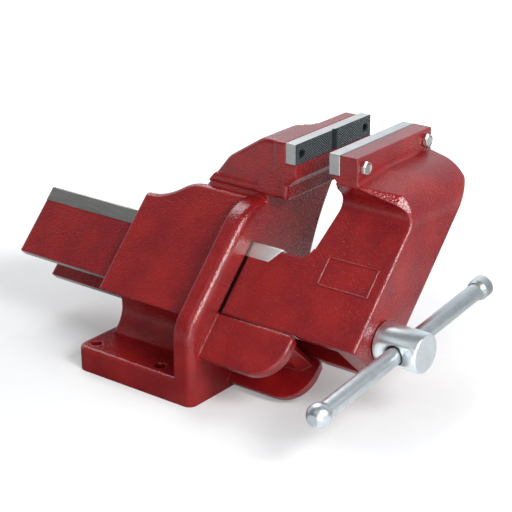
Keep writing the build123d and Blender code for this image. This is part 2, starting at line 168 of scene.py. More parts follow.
def edge_rub_group():
    """Share of wear: high where the rounded normal leaves the flat one."""
    inputs = {"Rounded": "Vector", "Flat": "Vector", "Place": "Vector", "Strength": "Float"}
    tree, given = shader_group("edge_rub", inputs, ("Wear",))
    match = vector_sum(tree, "DOT_PRODUCT", given["Rounded"], given["Flat"])
    turned = ramp(tree, match, EDGE_STARTS, EDGE_SHARP)
    chips = speckle(tree, given["Place"], scale=260.0, detail=4.0)
    chipped = ramp(tree, chips, start=0.40, end=0.66)
    add_node(tree, "NodeGroupOutput", {"Wear": both(tree, turned, chipped, given["Strength"])})
    return tree


CAST_SKIN = cast_skin_group()
EDGE_RUB = edge_rub_group()


def new_finish(name):
    """Empty material with its shader and the place on the piece."""
    material = bpy.data.materials.new(name)
    material.use_nodes = True
    tree = material.node_tree
    place = add_node(tree, "ShaderNodeTexCoord").outputs["Object"]
    return material, tree, tree.nodes["Principled BSDF"], place


def rounded_normal(tree, radius):
    """Normal that softens the sharp edges of a piece by a small radius."""
    return add_node(tree, "ShaderNodeBevel", {"Radius": radius}, samples=6).outputs[0]


def embossed(tree, height, rounded=None):
    """Normal with a height in metres pressed into the surface."""
    sources = {"Height": height, "Strength": 1.0, "Distance": 1.0}
    if rounded:
        sources["Normal"] = rounded
    return add_node(tree, "ShaderNodeBump", sources).outputs[0]


def edge_wear(tree, rounded, place, strength):
    """Wear mask for a material, from the shared group."""
    flat = add_node(tree, "ShaderNodeNewGeometry").outputs["Normal"]
    sources = {"Rounded": rounded, "Flat": flat, "Place": place, "Strength": strength}
    return add_node(tree, "ShaderNodeGroup", sources, node_tree=EDGE_RUB).outputs["Wear"]


LEAN = radians(43.7)
SLIDE_UP = Vector((sin(LEAN), 0, cos(LEAN)))
SLIDE_LEFT = Vector((-cos(LEAN), 0, sin(LEAN)))
SPINDLE_AXIS = Vector((-0.0047, 0, 0.0977))


def slide_places(tree, place):
    """Height up the slide, distance from its middle plane, and depth, in metres."""
    out = vector_sum(tree, "SUBTRACT", place, SPINDLE_AXIS)
    up = vector_sum(tree, "DOT_PRODUCT", out, SLIDE_UP)
    left = vector_sum(tree, "DOT_PRODUCT", out, SLIDE_LEFT)
    return up, sum_of(tree, "ABSOLUTE", left), coordinate(tree, place, "Y")


LAND_LOW = 0.0381
LAND_HIGH = 0.0573
LAND_SIDE = 0.0416
LAND_TOP = 0.0547
LAND_FRONT = -0.1144
LAND_SLANT = -0.695
LOWER_EDGE = -0.03442
LOWER_EDGE_SIDE = 0.0299
LOWER_EDGE_FRONT = -0.216


def moving_lands(tree, place):
    """Where the moving casting is machined: the lands and the lower edges of its slide."""
    up, side, depth = slide_places(tree, place)
    behind = above(tree, depth, sum_of(tree, "MULTIPLY_ADD", up, LAND_SLANT, LAND_FRONT))
    outside = either(tree, above(tree, side, LAND_SIDE), above(tree, up, LAND_TOP))
    land = both(tree, behind, above(tree, up, LAND_LOW), below(tree, up, LAND_HIGH), outside)
    edge = both(tree, below(tree, up, LOWER_EDGE), above(tree, side, LOWER_EDGE_SIDE),
                above(tree, depth, LOWER_EDGE_FRONT))
    return either(tree, land, edge)


PASSAGE_LOW = -0.0346
PASSAGE_HIGH = 0.0575
PASSAGE_SIDE = 0.0422
PASSAGE_FRONT = -0.2155
BASE_SEAT = 0.0002


def fixed_lands(tree, place):
    """Where the fixed casting is machined: its passage, tongue tops and underside."""
    up, side, depth = slide_places(tree, place)
    passage = both(tree, below(tree, side, PASSAGE_SIDE), above(tree, up, PASSAGE_LOW),
                   below(tree, up, PASSAGE_HIGH), above(tree, depth, PASSAGE_FRONT))
    return either(tree, passage, below(tree, coordinate(tree, place, "Z"), BASE_SEAT))


# Painted shadow: the near black band where the slide enters the fixed casting stands in for the shade in
# that gap; the patchy smear behind it is grease.
SHADE_AND_GREASE_FRONT = (-0.1131, -0.1115)
SHADE_AND_GREASE_SOLID = (-0.1085, -0.1060)
GREASE_SMEAR = (-0.1080, -0.0700)
SHADE_AND_GREASE_RAGGED = 0.0012
# Painted shadow: a thin near black strip on the block's top beside the plate stands in for the shade in the
# gap there.
SEAM_SHADOW_HEIGHT = 0.2835
SEAM_SHADOW_DEPTH = -0.2142


def mouth_shadow_and_grease(tree, place, depth):
    """Painted shadow of the gap where the slide runs in, solid at the front, with grease smeared thin
    behind it.
    """
    uneven = speckle(tree, place, scale=180.0, detail=2.0)
    ragged = sum_of(tree, "MULTIPLY_ADD", uneven, SHADE_AND_GREASE_RAGGED, depth)
    front = ramp(tree, ragged, *SHADE_AND_GREASE_FRONT)
    smear = ramp(tree, depth, *GREASE_SMEAR, low=1.0, high=0.0)
    wiped = speckle(tree, stretched(tree, place, (1.0, 0.25, 1.0)), scale=120.0)
    patchy = ramp(tree, wiped, start=0.40, end=0.62, low=0.10, high=0.80)
    thick = ramp(tree, depth, *SHADE_AND_GREASE_SOLID, low=1.0, high=0.0)
    return both(tree, front, smear, blend_value(tree, thick, patchy, 1.0))


def jaw_shade_and_grease(tree, place):
    """Painted shadow and grease where the slide runs in, and a painted shadow line on the block beside the
    plate.
    """
    depth = coordinate(tree, place, "Y")
    on_top = above(tree, coordinate(tree, place, "Z"), SEAM_SHADOW_HEIGHT)
    seam_shadow = both(tree, on_top, above(tree, depth, SEAM_SHADOW_DEPTH))
    return either(tree, mouth_shadow_and_grease(tree, place, depth), seam_shadow)


ENAMEL_RED = (0.262, 0.0095, 0.0092, 1)
ENAMEL_DEEP = (0.190, 0.0055, 0.0082, 1)
ENAMEL_RUBBED = (0.420, 0.0500, 0.0550, 1)
# Near black for painted shadow at the slide's mouth and beside the plate, and for grease.
ENAMEL_SHADE_AND_GREASE = (0.010, 0.004, 0.004, 1)
IRON_DULL = (0.25, 0.25, 0.235, 1)
IRON_BARE = (0.640, 0.625, 0.580, 1)
IRON_SHEEN = (0.92, 0.92, 0.90, 1)
PEBBLE_SIZE = 0.0024
PEBBLE_DEPTH = 0.00068
CAST_EDGE = 0.0030
CAST_RUB = 0.55
# Painted sheen: bare iron turns lighter and less metallic towards the front, standing in for the bright
# reflection on the land in front of the mouth.
SHEEN_REAR = -0.08
SHEEN_FRONT = -0.16
SHEEN_MATT = -0.45
COAT = 0.12


def cast_enamel(name, lands, grime=None):
    """Red enamel over cast iron, with the machined places left bare."""
    material, tree, shader, place = new_finish(name)
    sources = {"Place": place, "Pebble Size": PEBBLE_SIZE, "Pebble Depth": PEBBLE_DEPTH}
    skin = add_node(tree, "ShaderNodeGroup", sources, node_tree=CAST_SKIN).outputs
    rounded = rounded_normal(tree, CAST_EDGE)
    wear = edge_wear(tree, rounded, place, CAST_RUB)
    bare = lands(tree, place)
    painted = sum_of(tree, "SUBTRACT", 1.0, bare)
    cloud = ramp(tree, skin["Cloud"], start=0.35, end=0.68)
    paint = blend_colour(tree, cloud, ENAMEL_DEEP, ENAMEL_RED)
    paint = blend_colour(tree, wear, paint, ENAMEL_RUBBED)
    # The grime mask paints shadow as well as grease, in near black.
    if grime:
        paint = blend_colour(tree, grime(tree, place), paint, ENAMEL_SHADE_AND_GREASE)
    streaks = speckle(tree, stretched(tree, place, (1.0, 0.03, 1.0)), scale=900.0, detail=2.0)
    # Painted sheen towards the front, in place of a reflection.
    front_sheen = ramp(tree, coordinate(tree, place, "Y"), SHEEN_REAR, SHEEN_FRONT)
    iron = blend_colour(tree, streaks, IRON_DULL, IRON_BARE)
    iron = blend_colour(tree, front_sheen, iron, IRON_SHEEN)
    paint_gloss = blend_value(tree, skin["Grit"], 0.10, 0.20)
    iron_gloss = blend_value(tree, streaks, 0.26, 0.44)
    feed(tree, shader, {
        "Base Color": blend_colour(tree, bare, paint, iron),
        "Roughness": blend_value(tree, bare, paint_gloss, iron_gloss),
        "Metallic": sum_of(tree, "MULTIPLY_ADD", both(tree, front_sheen, bare), SHEEN_MATT, bare),
        "Normal": embossed(tree, both(tree, skin["Height"], painted), rounded),
        "Coat Weight": sum_of(tree, "MULTIPLY", painted, COAT),
        "Coat Roughness": 0.20,
        "Specular IOR Level": 0.60})
    return material


def dress(node, material):
    """Give a node its finish."""
    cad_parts[node].material_slots[0].material = material


BODY_ENAMEL = cast_enamel("red_enamel_body", fixed_lands)
JAW_ENAMEL = cast_enamel("red_enamel_jaw", moving_lands, jaw_shade_and_grease)
dress("fixed_jaw_body", BODY_ENAMEL)
dress("moving_jaw", JAW_ENAMEL)


# Raised border on the moving casting
# A plain oblong border stands proud of the neck's left side. It is cast with
# the neck, and the field inside it is left empty.

BORDER_REAR = -0.2140
BORDER_FRONT = -0.2800
BORDER_LOW = 0.0290
BORDER_HIGH = 0.0630
BORDER_CORNER = 0.0012
BORDER_WIDE = 0.0026
BORDER_PROUD = 0.0014
NECK_SIDE = 0.0412


def geometry_tree(name, sizes, counts=()):
    """Geometry tree with one named input for each size and count."""
    tree = bpy.data.node_groups.new(name, "GeometryNodeTree")
    tree.interface.new_socket("Geometry", in_out="OUTPUT", socket_type="NodeSocketGeometry")
    for size in sizes:
        tree.interface.new_socket(size, in_out="INPUT", socket_type="NodeSocketFloat")
    for count in counts:
        tree.interface.new_socket(count, in_out="INPUT", socket_type="NodeSocketInt")
    return tree, tree.nodes.new("NodeGroupInput").outputs


def vector_of(tree, x=0.0, y=0.0, z=0.0):
    """Vector from three numbers."""
    return add_node(tree, "ShaderNodeCombineXYZ", {0: x, 1: y, 2: z}).outputs[0]


def end_tree(tree, shape, material=None):
    """Realize what the tree has made, and give it its finish where it has none yet."""
    result = add_node(tree, "GeometryNodeRealizeInstances", {0: shape}).outputs[0]
    if material:
        sources = {"Geometry": result, "Material": material}
        result = add_node(tree, "GeometryNodeSetMaterial", sources).outputs[0]
    add_node(tree, "NodeGroupOutput", {0: result})


def place_object(name, content):
    """Object at the origin that holds a mesh, a lamp or a camera."""
    piece = bpy.data.objects.new(name, content)
    bpy.context.collection.objects.link(piece)
    return piece


def grow_piece(name, tree, values):
    """Run a geometry tree with its values, and keep the plain mesh."""
    piece = place_object(name, bpy.data.meshes.new(name))
    modifier = piece.modifiers.new(name, "NODES")
    modifier.node_group = tree
    for socket in tree.interface.items_tree:
        if socket.in_out == "INPUT":
            modifier[socket.identifier] = values[socket.name]
    evaluated = piece.evaluated_get(bpy.context.evaluated_depsgraph_get())
    piece.data = bpy.data.meshes.new_from_object(evaluated)
    piece.modifiers.clear()
    return piece


def border_tree():
    """Oblong of a rounded ridge, lying flat."""
    sizes = ("Length", "Height", "Corner", "Ridge Width", "Ridge Height")
    tree, size = geometry_tree("cast_border", sizes)
    oblong = add_node(tree, "GeometryNodeCurvePrimitiveQuadrilateral", {
        "Width": size["Length"], "Height": size["Height"]}).outputs[0]
    path = add_node(tree, "GeometryNodeFilletCurve", {
        "Curve": oblong, "Count": 4, "Radius": size["Corner"]}, mode="POLY").outputs[0]
    round_bar = add_node(tree, "GeometryNodeCurvePrimitiveCircle", {
        "Resolution": 12, "Radius": 1.0}).outputs[0]
    half_wide = sum_of(tree, "MULTIPLY", size["Ridge Width"], 0.5)
    ridge = add_node(tree, "GeometryNodeTransform", {
        "Geometry": round_bar, "Scale": vector_of(tree, half_wide, size["Ridge Height"], 1.0)}).outputs[0]
    swept = add_node(tree, "GeometryNodeCurveToMesh", {"Curve": path, "Profile Curve": ridge}).outputs[0]
    end_tree(tree, swept, JAW_ENAMEL)
    return tree


def on_the_neck(depth, up):
    """Matrix that stands a flat piece on the neck's left side."""
    spot = SPINDLE_AXIS + SLIDE_UP * up + SLIDE_LEFT * NECK_SIDE + Vector((0, depth, 0))
    turn = Matrix((Vector((0, -1, 0)), SLIDE_UP, SLIDE_LEFT)).transposed().to_4x4()
    return Matrix.Translation(spot) @ turn


border = grow_piece("cast_border", border_tree(), {
    "Length": BORDER_REAR - BORDER_FRONT, "Height": BORDER_HIGH - BORDER_LOW,
    "Corner": BORDER_CORNER, "Ridge Width": BORDER_WIDE, "Ridge Height": BORDER_PROUD})
border.data.transform(on_the_neck((BORDER_REAR + BORDER_FRONT) / 2, (BORDER_LOW + BORDER_HIGH) / 2))
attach(border, "moving_jaw_body")


# Jaw plates
# Two ground tool steel plates, hardened. Their working faces are cut with
# crossed grooves, which leave rows of small diamonds, and are left dark.

def node_box(node):
    """Lowest and highest corner of a node."""
    sides = list(zip(*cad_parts[node].bound_box))
    return Vector([min(side) for side in sides]), Vector([max(side) for side in sides])


PLATE_LOW, PLATE_HIGH = node_box("moving_jaw_plate")
PLATE_SIZE = PLATE_HIGH - PLATE_LOW
PLATE_MIDDLE = (PLATE_LOW + PLATE_HIGH) / 2
MOVING_FACE = PLATE_HIGH.y
FIXED_FACE = node_box("fixed_jaw_plate")[0].y
FIELD_MARGIN_WIDE = 0.0030
FIELD_MARGIN_TALL = 0.0020
GROOVE_HALF = 0.0056
GROOVE_DEEP = 0.0045
DIAMOND_WIDE = 0.0036
DIAMOND_TALL = 0.0030
DIAMOND_DEEP = 0.0009
DIAMOND_TIP = 0.36
SCREW_OUT = 0.063
SCREW_DROP = -0.00065
SCREW_HOLE = 0.0054
SCREW_CLEAR = 0.0058

GROUND_EDGE = 0.0005
SCRATCH_DEEP = 0.00001
GROUND_DULL = (0.48, 0.49, 0.49, 1)
GROUND_BRIGHT = (0.68, 0.69, 0.68, 1)
HARDENED_DARK = (0.014, 0.021, 0.024, 1)
HARDENED_GREY = (0.045, 0.062, 0.067, 1)


def ground_steel():
    """Pale surface-ground steel with fine streaks along the plate."""
    material, tree, shader, place = new_finish("ground_steel")
    streaks = speckle(tree, stretched(tree, place, (0.04, 1.0, 1.0)), scale=1500.0, detail=2.0)
    cloud = speckle(tree, place, scale=60.0)
    scratches = sum_of(tree, "MULTIPLY", streaks, SCRATCH_DEEP)
    feed(tree, shader, {
        "Base Color": blend_colour(tree, cloud, GROUND_DULL, GROUND_BRIGHT),
        "Roughness": blend_value(tree, streaks, 0.26, 0.46),
        "Metallic": 1.0,
        "Normal": embossed(tree, scratches, rounded_normal(tree, GROUND_EDGE))})
    return material


def hardened_steel():
    """Blue-black hardened steel of the cut faces."""
    material, tree, shader, place = new_finish("hardened_steel")
    grit = speckle(tree, place, scale=900.0)
    feed(tree, shader, {
        "Base Color": blend_colour(tree, grit, HARDENED_DARK, HARDENED_GREY),
        "Roughness": blend_value(tree, grit, 0.34, 0.55),
        "Metallic": 0.60})
    return material


GROUND_STEEL = ground_steel()
HARDENED_STEEL = hardened_steel()


def diamond(tree, tip):
    """One open-footed diamond with dark flanks and a ground tip."""
    cone = add_node(tree, "GeometryNodeMeshCone", {
        "Vertices": 4, "Radius Top": tip, "Radius Bottom": 1.0, "Depth": 1.0}, fill_type="NGON").outputs
    open_foot = add_node(tree, "GeometryNodeDeleteGeometry", {
        "Geometry": cone["Mesh"], "Selection": cone["Bottom"]}, domain="FACE").outputs[0]
    flanks = add_node(tree, "GeometryNodeSetMaterial", {
        "Geometry": open_foot, "Material": HARDENED_STEEL}).outputs[0]
    return add_node(tree, "GeometryNodeSetMaterial", {
        "Geometry": flanks, "Selection": cone["Top"], "Material": GROUND_STEEL}).outputs[0]


def serration_tree():
    """Field of diamonds in staggered rows, clear of the groove and the screws."""
    tree, size = geometry_tree("diamond_serration", (
        "Width", "Height", "Diamond Width", "Diamond Height", "Depth", "Tip",
        "Groove Half", "Screw Out", "Screw Drop", "Screw Clear"))
    half_row = sum_of(tree, "MULTIPLY", size["Diamond Height"], 0.5)
    half_wide = sum_of(tree, "MULTIPLY", size["Diamond Width"], 0.5)
    columns = sum_of(tree, "FLOOR", sum_of(tree, "DIVIDE", size["Width"], size["Diamond Width"]))
    rows = sum_of(tree, "FLOOR", sum_of(tree, "DIVIDE", size["Height"], half_row))
    field_wide = sum_of(tree, "MULTIPLY", columns, size["Diamond Width"])
    field_tall = sum_of(tree, "MULTIPLY", rows, half_row)
    grid = add_node(tree, "GeometryNodeMeshGrid", {
        "Size X": field_wide, "Size Y": field_tall,
        "Vertices X": sum_of(tree, "ADD", columns, 1.0),
        "Vertices Y": sum_of(tree, "ADD", rows, 1.0)}).outputs[0]
    spot = add_node(tree, "GeometryNodeInputPosition").outputs[0]
    height = coordinate(tree, spot, "Y")
    from_foot = sum_of(tree, "MULTIPLY_ADD", field_tall, 0.5, height)
    row = sum_of(tree, "ROUND", sum_of(tree, "DIVIDE", from_foot, half_row))
    stagger = sum_of(tree, "MULTIPLY_ADD", sum_of(tree, "MODULO", row, 2.0), 0.5, -0.25)
    shift = vector_of(tree, sum_of(tree, "MULTIPLY", stagger, size["Diamond Width"]))
    staggered = add_node(tree, "GeometryNodeSetPosition", {"Geometry": grid, "Offset": shift}).outputs[0]
    side = sum_of(tree, "ABSOLUTE", coordinate(tree, spot, "X"))
    from_screw = vector_of(tree, sum_of(tree, "SUBTRACT", side, size["Screw Out"]),
                           sum_of(tree, "SUBTRACT", height, size["Screw Drop"]))
    screw = below(tree, vector_sum(tree, "LENGTH", from_screw), size["Screw Clear"])
    unwanted = either(tree, below(tree, side, size["Groove Half"]), screw)
    clear = add_node(tree, "GeometryNodeDeleteGeometry", {
        "Geometry": staggered, "Selection": unwanted}, domain="POINT").outputs[0]
    field = add_node(tree, "GeometryNodeInstanceOnPoints", {
        "Points": clear, "Instance": diamond(tree, size["Tip"]),
        "Scale": vector_of(tree, half_wide, half_row, size["Depth"])}).outputs[0]
    end_tree(tree, field)
    return tree


SERRATION = serration_tree()
JOIN_WITHIN = 0.000002
ON_THE_FACE = 0.00005


def node_shape(node):
    """Copy of a node's mesh with its loose triangles joined."""
    shape = bmesh.new()
    shape.from_mesh(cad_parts[node].data)
    bmesh.ops.remove_doubles(shape, verts=shape.verts, dist=JOIN_WITHIN)
    return shape


def keep_mesh(name, shape, *finishes):
    """Plain mesh of a finished shape, with its materials."""
    mesh = bpy.data.meshes.new(name)
    shape.to_mesh(mesh)
    shape.free()
    for material in finishes:
        mesh.materials.append(material)
    return mesh


def plate_blank(node, face, towards):
    """Copy of a plate whose working face lies at the bottom of the serration."""
    blank = node_shape(node)
    for spot in blank.verts:
        if abs(spot.co.y - face) < ON_THE_FACE:
            spot.co.y = face - towards * DIAMOND_DEEP
    bmesh.ops.recalc_face_normals(blank, faces=blank.faces)
    for part in blank.faces:
        middle = part.calc_center_median()
        cut_face = abs(middle.y - face) < GROOVE_DEEP and part.normal.y * towards > 0.5
        out = abs(middle.x - PLATE_MIDDLE.x) - SCREW_OUT
        off_screw = hypot(out, middle.z - PLATE_MIDDLE.z - SCREW_DROP)
        part.material_index = 1 if cut_face or off_screw < SCREW_HOLE else 0
    return place_object(node + "_blank", keep_mesh(node + "_blank", blank, GROUND_STEEL, HARDENED_STEEL))


def jaw_plate(node, body, face, towards, groove_half):
    """One serrated plate in place of its plain node."""
    blank = plate_blank(node, face, towards)
    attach(blank, body)
    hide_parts(node)
    teeth = grow_piece(node + "_serration", SERRATION, {
        "Width": PLATE_SIZE.x - FIELD_MARGIN_WIDE, "Height": PLATE_SIZE.z - FIELD_MARGIN_TALL,
        "Diamond Width": DIAMOND_WIDE, "Diamond Height": DIAMOND_TALL, "Depth": DIAMOND_DEEP,
        "Tip": DIAMOND_TIP, "Groove Half": groove_half, "Screw Out": SCREW_OUT,
        "Screw Drop": SCREW_DROP, "Screw Clear": SCREW_CLEAR})
    middle = Matrix.Translation((PLATE_MIDDLE.x, face - towards * DIAMOND_DEEP, PLATE_MIDDLE.z))
    facing = Matrix.Rotation(pi if towards > 0 else 0, 4, "Z")
    teeth.data.transform(middle @ facing @ Matrix.Rotation(pi / 2, 4, "X"))
    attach(teeth, body)


jaw_plate("fixed_jaw_plate", "fixed_body", FIXED_FACE, -1, GROOVE_HALF)
jaw_plate("moving_jaw_plate", "moving_jaw_body", MOVING_FACE, 1, 0.0)


# Plate bolts
# Four zinc plated hexagon bolts pull the plates against the castings. Each
# head is forged with a chamfered, dished crown and a thin bearing ring under it.

HEAD_CORNER = 0.0081
HEAD_HIGH = 0.0060
CROWN = 0.0066
CROWN_SLOPE = 0.75
DISH = 0.0048
DISH_DEEP = 0.0005
RING_INSET = 0.0004
RING_HIGH = 0.0005
BOLT_SHANK = 0.0040
TIP_NARROW = 0.0005
TIP_LONG = 0.0006
MOVING_TIP = node_box("moving_jaw_bolt_left")[1].y
MOVING_SEAT = node_box("moving_jaw_bolt_left")[0].y + HEAD_HIGH
FIXED_TIP = node_box("fixed_jaw_bolt_left")[0].y
FIXED_SEAT = node_box("fixed_jaw_bolt_left")[1].y - HEAD_HIGH
BOLT_ANGLES = [i * pi / 24 for i in range(48)]

# Painted shade: bolt shanks inside the castings are near black, so the tips at the bottom of the plate
# holes read dark.
SHADE_INSET_MOVING = 0.0012
SHADE_INSET_FIXED = 0.0015
PAINTED_SHADE_DARK = (0.03, 0.03, 0.03, 1)
ZINC_RUBBED = (0.86, 0.87, 0.87, 1)
ZINC_EDGE = 0.0006
ZINC_RUB = 0.8
PLATING_DEEP = 0.00006
TOOL_MARK_DEEP = 0.000008


def bright_zinc(name, dull, clean, streak_scale, gloss, painted_shade=None):
    """Bright zinc plating with faint clouds and turning marks, painted near black where a shade mask is
    given.
    """
    material, tree, shader, place = new_finish(name)
    cloud = speckle(tree, place, scale=90.0, detail=4.0)
    marks = speckle(tree, stretched(tree, place, streak_scale), scale=1200.0, detail=2.0)
    rounded = rounded_normal(tree, ZINC_EDGE)
    wear = edge_wear(tree, rounded, place, ZINC_RUB)
    colour = blend_colour(tree, cloud, dull, clean)
    colour = blend_colour(tree, wear, colour, ZINC_RUBBED)
    if painted_shade:
        colour = blend_colour(tree, painted_shade(tree, place), colour, PAINTED_SHADE_DARK)
    clouded = blend_value(tree, cloud, *gloss)
    relief = sum_of(tree, "MULTIPLY_ADD", cloud, PLATING_DEEP,
                    sum_of(tree, "MULTIPLY", marks, TOOL_MARK_DEEP))
    feed(tree, shader, {
        "Base Color": colour,
        "Roughness": blend_value(tree, marks, clouded, gloss[1]),
        "Metallic": 1.0,
        "Normal": embossed(tree, relief, rounded)})
    return material


# Painted shade: the shank is darkened here so the plate holes look dark.
def inside_the_casting(tree, place):
    """Where a bolt's shank stands inside its casting."""
    depth = coordinate(tree, place, "Y")
    return both(tree, above(tree, depth, MOVING_SEAT + SHADE_INSET_MOVING),
                below(tree, depth, FIXED_SEAT - SHADE_INSET_FIXED))


BOLT_ZINC = bright_zinc(
    "bolt_zinc", dull=(0.52, 0.53, 0.50, 1), clean=(0.78, 0.79, 0.76, 1),
    streak_scale=(1.0, 1.0, 1.0), gloss=(0.14, 0.30), painted_shade=inside_the_casting)


def hexagon_reach(angle):
    """Distance from the middle to a flat of the head, in one direction."""
    flat = HEAD_CORNER * cos(pi / 6)
    return flat / cos((angle + pi / 6) % (pi / 3) - pi / 6)


def round_row(bolt, radius, height):
    """Closed row of points on a circle."""
    return [bolt.verts.new((radius * cos(angle), radius * sin(angle), height)) for angle in BOLT_ANGLES]


def hexagon_row(bolt, height_at):
    """Closed row of points on the six sides, at a height that may change with their reach."""
    row = []
    for angle in BOLT_ANGLES:
        reach = hexagon_reach(angle)
        row.append(bolt.verts.new((reach * cos(angle), reach * sin(angle), height_at(reach))))
    return row


def stitch_rows(bolt, rows):
    """Walls between rows of points, with the first and last row closed."""
    for low, high in zip(rows, rows[1:]):
        for i in range(len(low)):
            j = (i + 1) % len(low)
            bolt.faces.new((low[i], low[j], high[j], high[i]))
    bolt.faces.new(list(reversed(rows[0])))
    bolt.faces.new(rows[-1])


def plate_bolt(node, body, x, seat, tip):
    """Whole bolt along Y, from the seat of its head to the tip of its shank."""
    length = abs(tip - seat)
    bolt = bmesh.new()
    bearing = HEAD_CORNER * cos(pi / 6) - RING_INSET
    stitch_rows(bolt, [
        round_row(bolt, BOLT_SHANK - TIP_NARROW, -length),
        round_row(bolt, BOLT_SHANK, TIP_LONG - length),
        round_row(bolt, BOLT_SHANK, 0.0),
        round_row(bolt, bearing, 0.0),
        round_row(bolt, bearing, RING_HIGH),
        hexagon_row(bolt, lambda reach: RING_HIGH),
        hexagon_row(bolt, lambda reach: HEAD_HIGH - (reach - CROWN) * CROWN_SLOPE),
        round_row(bolt, CROWN, HEAD_HIGH),
        round_row(bolt, DISH, HEAD_HIGH - DISH_DEEP)])
    bmesh.ops.recalc_face_normals(bolt, faces=bolt.faces)
    mesh = keep_mesh(node + "_forged", bolt, BOLT_ZINC)
    facing = Matrix.Rotation(pi / 2 if tip > seat else -pi / 2, 4, "X")
    mesh.transform(Matrix.Translation((x, seat, PLATE_MIDDLE.z + SCREW_DROP)) @ facing)
    piece = place_object(node + "_forged", mesh)
    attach(piece, body)
    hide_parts(node)


for side, x in (("left", PLATE_MIDDLE.x - SCREW_OUT), ("right", PLATE_MIDDLE.x + SCREW_OUT)):
    plate_bolt("moving_jaw_bolt_" + side, "moving_jaw_body", x, MOVING_SEAT, MOVING_TIP)
    plate_bolt("fixed_jaw_bolt_" + side, "fixed_body", x, FIXED_SEAT, FIXED_TIP)


# Spindle
# Turned from one steel bar: a thick zinc plated head with a cross hole for
# the bar, a plain neck through the moving casting, and a coarse thread.

THREAD_FRONT = -0.2450
THREAD_REAR = node_box("spindle")[1].y
THREAD_PITCH = 0.0060
THREAD_CREST = 0.0140
THREAD_ROOT = 0.0112
THREAD_FLAT = 0.32
ROOT_EARLY = 0.10
ROWS_A_TURN = 4.0
SPARE_ROWS = 9.0
THREAD_STEPS = 40
THREAD_JOIN = 0.00001
HEAD_REAR = -0.29595
# Painted shadow: a dark line behind the head and a dark ring round the bar's hole stand in for the shade in
# those gaps.
SHADOW_BEHIND_HEAD = 0.0014
BAR_MIDDLE = SPINDLE_AXIS + Vector((0, -0.3247, 0))
BAR_TILT = radians(6)
BAR_WAY = Vector((cos(BAR_TILT), 0, sin(BAR_TILT)))
HOLE_RIM = 0.0118
RIM_SOFT = 0.0006

OILED_EDGE = 0.0004
OILED_DARK = (0.10, 0.095, 0.085, 1)
OILED_GREY = (0.36, 0.35, 0.33, 1)


def head_painted_shadows(tree, place):
    """Painted shadow in the countersink of the cross hole and along the gap behind the head."""
    out = vector_sum(tree, "SUBTRACT", place, BAR_MIDDLE)
    away = vector_sum(tree, "LENGTH", vector_sum(tree, "CROSS_PRODUCT", out, BAR_WAY))
    rim = ramp(tree, away, HOLE_RIM - RIM_SOFT, HOLE_RIM, low=1.0, high=0.0)
    return either(tree, rim, above(tree, coordinate(tree, place, "Y"), HEAD_REAR - SHADOW_BEHIND_HEAD))


def oiled_steel():
    """Dark oiled steel of the thread and the collar."""
    material, tree, shader, place = new_finish("oiled_steel")
    grime = speckle(tree, place, scale=160.0, detail=4.0)
    feed(tree, shader, {
        "Base Color": blend_colour(tree, grime, OILED_DARK, OILED_GREY),
        "Roughness": blend_value(tree, grime, 0.22, 0.45),
        "Metallic": 0.9,
        "Normal": rounded_normal(tree, OILED_EDGE)})
    return material


SPINDLE_ZINC = bright_zinc(
    "spindle_zinc", dull=(0.66, 0.72, 0.74, 1), clean=(0.84, 0.91, 0.93, 1),
    streak_scale=(1.0, 0.05, 1.0), gloss=(0.22, 0.36), painted_shade=head_painted_shadows)
OILED_STEEL = oiled_steel()


